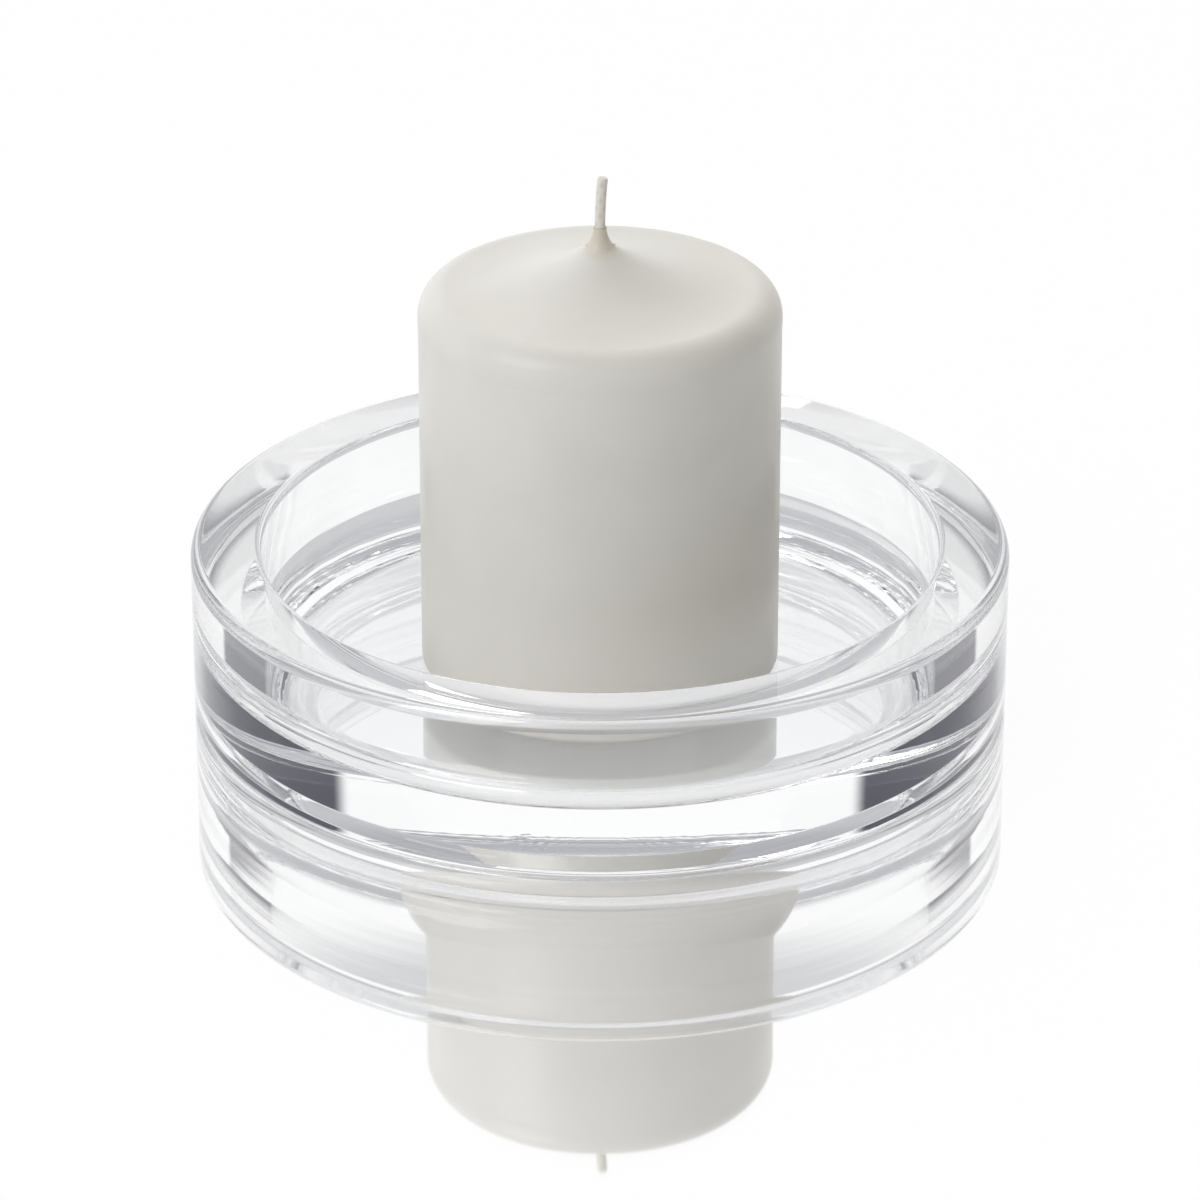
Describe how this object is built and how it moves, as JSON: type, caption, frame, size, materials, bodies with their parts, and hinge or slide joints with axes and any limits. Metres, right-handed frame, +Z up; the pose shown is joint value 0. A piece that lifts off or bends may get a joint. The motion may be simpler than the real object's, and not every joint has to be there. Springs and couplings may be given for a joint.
{
  "type": "candle plate",
  "caption": "Round thick-walled clear glass candle plate with a flat polished rim, holding a loose ivory pillar candle with a cotton wick.",
  "frame": {"origin": "middle of the dish's foot ring, on the surface that it stands on", "axes": "+Z up along the common axis of dish and candle; +X to the right and +Y away from the viewer as the object is pictured"},
  "size_m": [0.15, 0.15, 0.1032],
  "materials": {
    "clear_glass": "clear pressed glass, fire polished all over",
    "ivory_wax": "smooth dipped candle wax with a soft sheen",
    "pressed_wax": "pressed granular candle wax, dull",
    "cotton_wick": "plaited cotton, primed with wax",
    "tinned_steel": "thin tinned sheet, dull bright"
  },
  "bodies": {
    "dish": {"glass_dish": "clear_glass"},
    "candle": {"wax_coat": "ivory_wax", "wax_core": "pressed_wax", "wick": "cotton_wick", "wick_sustainer": "tinned_steel"}
  },
  "joints": [
    {"name": "candle_lift", "type": "slide", "parent": "dish", "child": "candle", "axis": [0, 0, 1], "range_m": [0, 0.06]}
  ]
}
